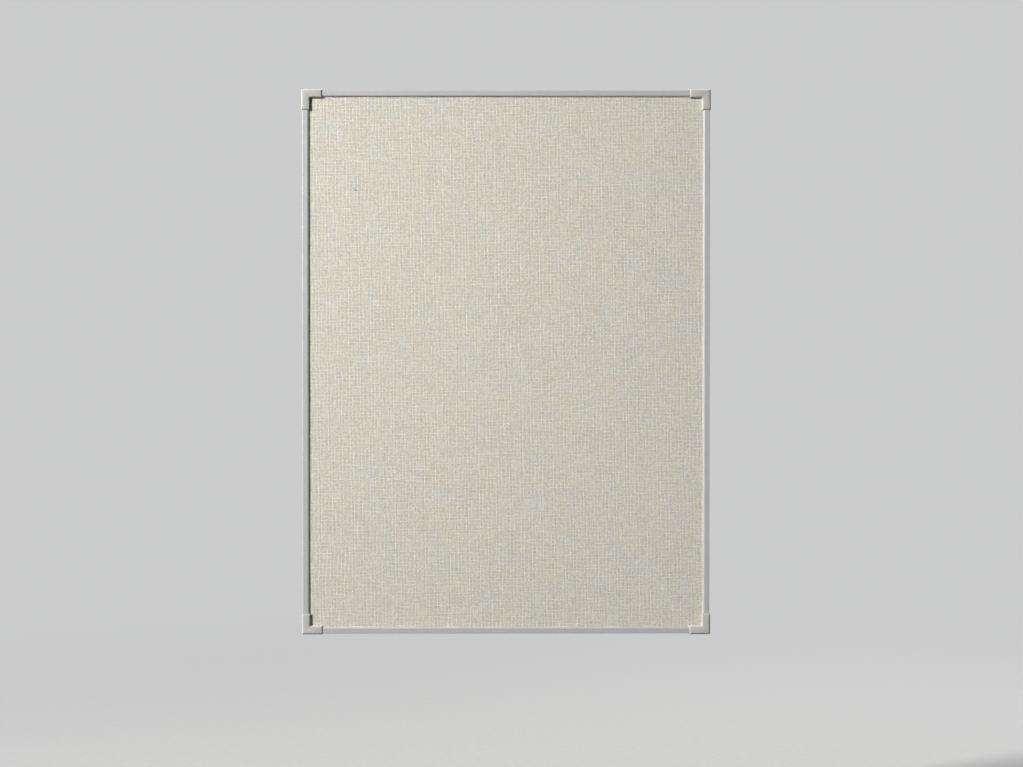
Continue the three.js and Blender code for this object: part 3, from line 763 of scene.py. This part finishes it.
def socket_cutter(swapped):
    """The room for a rail's end in one leg, or swapped over the diagonal for the other."""
    front, back = RAIL_FRONT - CAP_FIT, RAIL_BACK + CAP_FIT
    inner = RAIL_FACE + CAP_FIT
    section = [(back, -CAP_FIT), (back, inner), (front, inner)]
    section += arc(front + RAIL_ROUND, RAIL_ROUND - CAP_FIT, RAIL_ROUND,
                   HALF_TURN, HALF_TURN + QUARTER_TURN)
    loops = [[(x, y, z + CAP_OUTER_STEP) for y, z in section]
             for x in (RAIL_START - CAP_FIT, CAP_LEG + OVERRUN)]
    if swapped:
        loops = [[(z, y, x) for x, y, z in loop] for loop in loops]
    return solid("cutter", *loft(loops))


def cap_screw_places():
    return [(CAP_SCREW_ALONG, CAP_SCREW_INSET), (CAP_SCREW_INSET, CAP_SCREW_ALONG)]


def make_cap(corner, material):
    """A corner cap, rounded over at the front, with its sockets, panel pocket and screw holes."""
    loops = [cap_loop(CAP_BACK_ROUND * (1 - math.sin(a)), CAP_BACK - CAP_BACK_ROUND * (1 - math.cos(a)))
             for a in quarter_angles(CAP_BACK_STEPS)]
    loops += [cap_loop(inward, CAP_FRONT + deep)
              for inward, deep in eased_edge(CAP_EDGE_ROUND, CAP_EDGE_ROUND, CAP_EDGE_BEND)]
    obj = solid("cap", *loft(loops))
    start, end = CAP_OUTER_STEP + RAIL_WALL, CAP_LEG + OVERRUN
    front, back = RAIL_FRONT + RAIL_WALL, RAIL_BACK - RAIL_WALL
    square = [(start, start), (end, start), (end, end), (start, end)]
    pocket = solid("cutter", *loft([[(x, y, z) for x, z in square] for y in (front, back)]))
    radius = SCREW_SIZES["cap"]["shank"] + SCREW_PLAY
    holes = [rod(radius, x, z, back, CAP_BACK + OVERRUN, HOLE_SIDES) for x, z in cap_screw_places()]
    cut(obj, [socket_cutter(False), socket_cutter(True), pocket] + holes)
    name = corner["name"] + "_cap"
    finished(obj, name + "_skin", name, "board", material, corner_matrix(corner))


def recess_cutter(size):
    """A cross with sides that draw in towards its bottom."""
    loops = []
    for level_share, share in RECESS_LEVEL_SHARES:
        y = size["height"] * level_share
        long = size["head"] * HEAD_CROSS_LONG_SHARE * share
        short = size["head"] * HEAD_CROSS_SHORT_SHARE * share
        outline = [(long, -short), (long, short), (short, short), (short, long),
                   (-short, long), (-short, short), (-long, short), (-long, -short),
                   (-short, -short), (-short, -long), (short, -long), (short, -short)]
        loops.append([(x, y, z) for x, z in outline])
    return solid("cutter", *loft(loops))


def thread_loop(size, y):
    """One round of the threaded shank, at a depth that is 0 under the head and falls to the tip."""
    taper = min(1, max((y + size["length"]) / (size["length"] * LENGTH_TIP_SHARE), SHANK_POINT_SHARE))
    fade = min(1, max(-y / THREAD_FADE, 0))
    loop = []
    for side in range(ROUND_SIDES):
        turn = side / ROUND_SIDES
        part = (y / THREAD_PITCH + turn) % 1
        crest = max(0, 1 - abs(part - 0.5) * THREAD_SLOPE)
        depth = SHANK_THREAD_SHARE * (1 - crest) * min(fade, taper * THREAD_TIP_SLOPE, 1)
        radius = size["shank"] * taper * (1 - depth)
        loop.append((radius * math.cos(turn * FULL_TURN), y, radius * math.sin(turn * FULL_TURN)))
    return loop


def screw_mesh(size):
    """A pan-head screw with a cross recess and a real thread. Its head rests at zero depth."""
    length, head, height = size["length"], size["head"], size["height"]
    rim = height * HEIGHT_RIM_SHARE
    loops = [thread_loop(size, -length + length * step / THREAD_STEPS)
             for step in range(THREAD_STEPS + 1)]
    loops += [circle_at(head - HEAD_EDGE, 0), circle_at(head, HEAD_EDGE), circle_at(head, rim)]
    for a in quarter_angles(HEAD_STEPS)[1:-1]:
        loops.append(circle_at(head * math.cos(a), rim + (height - rim) * math.sin(a)))
    obj = cut(solid("screw", *loft(loops)), [recess_cutter(size)])
    mesh = obj.data
    bpy.data.objects.remove(obj)
    return mesh


def make_screw(mesh, node, matrix, angle, material):
    obj = bpy.data.objects.new("screw", mesh.copy())
    scene.collection.objects.link(obj)
    turned = matrix @ Matrix.Rotation(angle, 4, "Y")
    finished(obj, node + "_skin", node, "board", material, turned)


def screw_angle(turn, number, place):
    """How far a screw is turned, so that its recess stands unlike its neighbours'."""
    start, step, slope = turn
    return start + number * step + place * slope


def make_pad(corner, material):
    """A round rubber pad that stands on the back of a cap and meets the wall."""
    loops = [circle_at(PAD_RADIUS - PAD_EDGE, CAP_BACK), circle_at(PAD_RADIUS, CAP_BACK + PAD_EDGE)]
    for a in quarter_angles(PAD_STEPS):
        radius = PAD_RADIUS - PAD_ROUND * (1 - math.cos(a))
        loops.append(circle_at(radius, -PAD_ROUND * (1 - math.sin(a))))
    obj = solid("pad", *loft(loops))
    name = corner["name"] + "_wall_pad"
    middle = Matrix.Translation((CAP_FACE / 2, 0, CAP_FACE / 2))
    finished(obj, name + "_skin", name, "board", material,
             corner_matrix(corner) @ middle)


def ring_axis(sign):
    """The middle of a ring's bar: left with a sign of -1, and right with 1."""
    x = abs(STRAP_LOW.x + STRAP_HIGH.x) / 2
    return (sign * x, STRAP_LOW.y + EYE_OUTER, STRAP_HIGH.z - EYE_OUTER)


def make_strap(side, sign, material):
    """A hanger's strap: a plate with a rounded end, rolled into an eye at its top."""
    middle = ring_axis(sign)
    half = (STRAP_HIGH.x - STRAP_LOW.x) / 2
    low = STRAP_LOW.z - middle[2]
    curl_end = HALF_TURN - FULL_TURN * STRAP_CURL_SHARE
    flat = half - STRAP_END_ROUND
    xs = [flat + STRAP_END_ROUND * math.sin(a) for a in quarter_angles(STRAP_END_STEPS)]
    xs = [-x for x in reversed(xs)] + xs
    loops = []
    for x in xs:
        off = max(abs(x) - flat, 0)
        bottom = low + STRAP_END_ROUND - math.sqrt(max(STRAP_END_ROUND ** 2 - off ** 2, 0))
        outer = arc(0, 0, EYE_OUTER, HALF_TURN, curl_end, EYE_STEPS)
        inner = arc(0, 0, EYE_INNER, curl_end, HALF_TURN, EYE_STEPS)
        section = [(-EYE_OUTER, bottom)] + outer + inner + [(-EYE_INNER, bottom)]
        loops.append([(x, y, z) for y, z in section])
    obj = solid("strap", *loft(loops))
    radius = SCREW_SIZES["hanger"]["shank"] + SCREW_PLAY
    front, back = -EYE_OUTER - OVERRUN, -EYE_INNER + OVERRUN / 2
    cut(obj, [rod(radius, 0, -drop, front, back, STRAP_HOLE_SIDES) for drop in HANGER_SCREW_DROPS])
    soften(obj, STRAP_EDGE_ROUND)
    name = side + "_hanger_strap"
    finished(obj, name + "_skin", name, "board", material, Matrix.Translation(middle))


def ring_path():
    """The middle of the ring's wire, from one end of the bar round the bow to the other."""
    half = RING_INNER_HALF + RING_WIRE
    bow = RING_BEND + RING_SIDE
    corner = half - RING_BEND
    path = [(RING_JOINT_GAP / 2, 0), (RING_JOINT_GAP / 2 + RING_END, 0)]
    path += arc(corner, RING_BEND, RING_BEND, -QUARTER_TURN, 0, RING_BEND_STEPS)
    path += arc(0, bow, half, 0, HALF_TURN, RING_BOW_STEPS)
    path += arc(-corner, RING_BEND, RING_BEND, HALF_TURN, HALF_TURN + QUARTER_TURN, RING_BEND_STEPS)
    path += [(-RING_JOINT_GAP / 2 - RING_END, 0), (-RING_JOINT_GAP / 2, 0)]
    return path


def make_ring(side, sign, material):
    """A D-ring of bent wire, with its two cut ends facing each other in the strap's eye."""
    path = [Vector((x, 0, z)) for x, z in ring_path()]
    depth = Vector((0, 1, 0))
    loops = []
    for i, point in enumerate(path):
        before, after = path[max(i - 1, 0)], path[min(i + 1, len(path) - 1)]
        out = (after - before).normalized().cross(depth)
        radius = RING_WIRE * (RING_END_SHARE if i in (0, len(path) - 1) else 1)
        loops.append([point + (out * a + depth * b) for a, b in circle(radius, WIRE_SIDES)])
    obj = solid("ring", *loft(loops))
    name = side + "_hanger_ring"
    finished(obj, name + "_skin", name, side + "_ring", material,
             Matrix.Translation(ring_axis(sign)), RING_SMOOTH_ANGLE)


def cloth_rings():
    """From the front's edge round to the turn-in's edge: each ring's distance in and its depth."""
    front, back = LINEN_LOW.y, LINEN_HIGH.y
    bend = quarter_angles(CLOTH_BEND_STEPS)
    rings = [(CLOTH_BEND * (1 - math.sin(a)), front + CLOTH_BEND * (1 - math.cos(a)))
             for a in bend[1:]]
    rings += [(0, (front + back) / 2)]
    rings += [(CLOTH_BEND * (1 - math.cos(a)), back - CLOTH_BEND * (1 - math.sin(a))) for a in bend]
    rings += [(CLOTH_BEND + (CLOTH_TURN_IN - CLOTH_BEND) * step / CLOTH_TURN_IN_STEPS, back)
              for step in range(1, CLOTH_TURN_IN_STEPS + 1)]
    return rings


def swell_noise(x, z, scales):
    scale_x, level, scale_z = scales
    return noise.noise(Vector((x * scale_x, level, z * scale_z)))


def cloth_swell(x, z, half_x, half_z):
    """How far the stretched cloth stands off its board: very little, and nothing near the frame."""
    edge = min(half_x - abs(x), half_z - abs(z))
    calm = min(1, max((edge - CLOTH_CALM_EDGE) / (CLOTH_CALM_EDGE * 2), 0))
    waves = swell_noise(x, z, CLOTH_WAVES)
    ripples = swell_noise(x, z, CLOTH_RIPPLES)
    return CLOTH_SWELL * calm * (CLOTH_MIDDLE_SHARE + waves + ripples * CLOTH_RIPPLE_SHARE)


def cloth_mesh(half_x, half_z):
    """The sheet's points, where each lies on the flat cloth, and its faces."""
    inner_x, inner_z = half_x - CLOTH_BEND, half_z - CLOTH_BEND
    columns, rows = round(inner_x * 2 / CLOTH_GRID), round(inner_z * 2 / CLOTH_GRID)
    points, places, faces = [], [], []
    for row in range(rows + 1):
        z = -inner_z + inner_z * 2 * row / rows
        for column in range(columns + 1):
            x = -inner_x + inner_x * 2 * column / columns
            points.append((x, LINEN_LOW.y - cloth_swell(x, z, half_x, half_z), z))
            places.append((x, 0, z))
    stride = columns + 1
    for row in range(rows):
        for column in range(columns):
            a = row * stride + column
            faces.append((a, a + 1, a + stride + 1, a + stride))
    rim = [column for column in range(columns)]
    rim += [row * stride + columns for row in range(rows)]
    rim += [rows * stride + column for column in range(columns, 0, -1)]
    rim += [row * stride for row in range(rows, 0, -1)]
    before, walked = rim, 0
    last = (CLOTH_BEND, LINEN_LOW.y)
    for inset, depth in cloth_rings():
        walked += math.dist(last, (inset, depth))
        last = (inset, depth)
        share_x, share_z = (half_x - inset) / inner_x, (half_z - inset) / inner_z
        ring = []
        for start in rim:
            x, _, z = places[start]
            ring.append(len(points))
            points.append((x * share_x, depth, z * share_z))
            out_x = walked if abs(x) > inner_x - ROUNDING else 0
            out_z = walked if abs(z) > inner_z - ROUNDING else 0
            places.append((x + math.copysign(out_x, x), 0, z + math.copysign(out_z, z)))
        for i in range(len(rim)):
            j = (i + 1) % len(rim)
            faces.append((before[i], ring[i], ring[j], before[j]))
        before = ring
    return points, places, faces


def make_cloth(material):
    """The linen: one sheet over the front, round the four edges and in behind, mitred there."""
    half_x, half_z = LINEN_HIGH.x, LINEN_HIGH.z
    points, places, faces = cloth_mesh(half_x, half_z)
    obj = solid("cloth", points, faces)
    set_places(obj, places)
    if sum(f.normal.y * f.area for f in obj.data.polygons) > 0:
        obj.data.flip_normals()
    modifier = obj.modifiers.new("thickness", "SOLIDIFY")
    modifier.thickness = CLOTH_THICKNESS
    modifier.offset = -1
    bake_modifiers(obj)
    finished(obj, "linen_sheet", "linen_cover", "board", material, None, CLOTH_SMOOTH_ANGLE)


def dress_cad_node(node, material):
    """Gives a node that stays as packed its material."""
    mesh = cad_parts[node].data
    mesh.materials.clear()
    mesh.materials.append(material)


def make_lamp(name, place, size, watts, colour=(1, 1, 1), beam=180):
    """A soft square lamp that points at the middle of the board, with its beam's angle in degrees."""
    light = bpy.data.lights.new(name, "AREA")
    light.shape = "SQUARE"
    light.size = size
    light.energy = watts
    light.color = colour
    light.spread = math.radians(beam)
    obj = bpy.data.objects.new(name, light)
    obj.location = place
    obj.rotation_mode = "QUATERNION"
    obj.rotation_quaternion = (-Vector(place)).to_track_quat("-Z", "Y")
    obj.visible_camera = False
    scene.collection.objects.link(obj)


def seen_directly(tree):
    """One for camera, glossy and transmission rays, and zero for the rays that light things."""
    path = tree.nodes.new("ShaderNodeLightPath")
    total = path.outputs["Is Camera Ray"]
    for name in ("Is Glossy Ray", "Is Transmission Ray"):
        add = tree.nodes.new("ShaderNodeMath")
        add.operation = "MAXIMUM"
        tree.links.new(total, add.inputs[0])
        tree.links.new(path.outputs[name], add.inputs[1])
        total = add.outputs[0]
    return total


def make_world():
    """A plain pale surround, which gives less light than it shows."""
    world = bpy.data.worlds.new("studio")
    world.use_nodes = True
    scene.world = world
    tree = world.node_tree
    shown = tree.nodes["Background"]
    shown.inputs["Color"].default_value = BACKDROP
    shown.inputs["Strength"].default_value = 1.0
    light = tree.nodes.new("ShaderNodeBackground")
    light.inputs["Color"].default_value = (1.0, 1.0, 1.0, 1.0)
    light.inputs["Strength"].default_value = AMBIENT
    mix = tree.nodes.new("ShaderNodeMixShader")
    tree.links.new(seen_directly(tree), mix.inputs[0])
    tree.links.new(light.outputs[0], mix.inputs[1])
    tree.links.new(shown.outputs[0], mix.inputs[2])
    tree.links.new(mix.outputs[0], tree.nodes["World Output"].inputs[0])


def make_floor():
    """A plain pale floor below the board, which runs out into the surround."""
    corners = ((-1, -1), (1, -1), (1, 1), (-1, 1))
    points = [(x * FLOOR_HALF, y * FLOOR_HALF, FLOOR_LEVEL) for x, y in corners]
    floor = solid("floor", points, [(0, 1, 2, 3)])
    f = Finish("floor")
    place = f.stretched(f.object_place(), (1.0, 1.0, 0.0))
    away = f.node("VectorMath", (place,), "Value", operation="LENGTH")
    grain = f.noise(place, scale=90.0, detail=3.0, roughness=0.6)
    shown = seen_directly(f.tree)
    colour = f.blend(f.spread(grain), FLOOR_DARKER, FLOOR_PALER)
    f.set(Base_Color=f.blend(shown, FLOOR_BOUNCE, colour), Roughness=0.9, Specular_IOR_Level=0.1)
    glow = f.node("Emission", {"Color": BACKDROP, "Strength": 1.0})
    far = f.math("MULTIPLY", f.spread(away, FLOOR_FADE_START, FLOOR_FADE_END), shown)
    mix = f.node("MixShader", (far, f.shader.outputs[0], glow))
    f.join(mix, f.tree.nodes["Material Output"].inputs[0])
    floor.data.materials.append(f.material)


def make_camera():
    """The photograph's view: level with the board's middle, and turned so that it falls in place."""
    data = bpy.data.cameras.new("camera")
    data.sensor_width = SENSOR_WIDTH_MM
    data.lens = FOCAL_PIXELS / PHOTO_WIDTH * SENSOR_WIDTH_MM
    data.clip_start = CAMERA_NEAREST
    data.clip_end = CAMERA_FARTHEST
    camera = bpy.data.objects.new("camera", data)
    yaw = math.atan((PHOTO_WIDTH / 2 - BOARD_MIDDLE_PIXEL[0]) / FOCAL_PIXELS)
    pitch = -math.atan((PHOTO_HEIGHT / 2 - BOARD_MIDDLE_PIXEL[1]) / FOCAL_PIXELS)
    forward = Vector((math.sin(yaw) * math.cos(pitch), math.cos(yaw) * math.cos(pitch), math.sin(pitch)))
    camera.location = (0, CAP_FRONT - CAMERA_DISTANCE, 0)
    camera.rotation_mode = "QUATERNION"
    camera.rotation_quaternion = forward.to_track_quat("-Z", "Y")
    scene.collection.objects.link(camera)
    scene.camera = camera


make_camera()
make_world()
make_floor()
for settings in LAMPS:
    make_lamp(**settings)

aluminium = rail_material()
plastic = cap_material()
steel = steel_material()
rubber = rubber_material()
cap_screw = screw_mesh(SCREW_SIZES["cap"])
hanger_screw = screw_mesh(SCREW_SIZES["hanger"])
for number, corner in enumerate(CORNERS):
    make_rail(corner, aluminium)
    make_cap(corner, plastic)
    make_pad(corner, rubber)
    for letter, (x, z) in zip("ab", cap_screw_places()):
        node = f"{corner['name']}_cap_screw_{letter}"
        place = corner_matrix(corner) @ Matrix.Translation((x, CAP_BACK, z))
        make_screw(cap_screw, node, place, screw_angle(CAP_SCREW_TURN, number, x), steel)
for side, sign in (("left", -1), ("right", 1)):
    make_strap(side, sign, steel)
    make_ring(side, sign, steel)
    x, y, z = ring_axis(sign)
    for letter, drop in zip("ab", HANGER_SCREW_DROPS):
        node = f"{side}_hanger_screw_{letter}"
        place = Matrix.Translation((x, y - EYE_INNER, z - drop))
        make_screw(hanger_screw, node, place, screw_angle(HANGER_SCREW_TURN, sign, drop), steel)
make_cloth(linen_material())
dress_cad_node("pin_board", fibreboard_material())
dress_cad_node("backing_board", hardboard_material())

scene.view_settings.view_transform = "Standard"
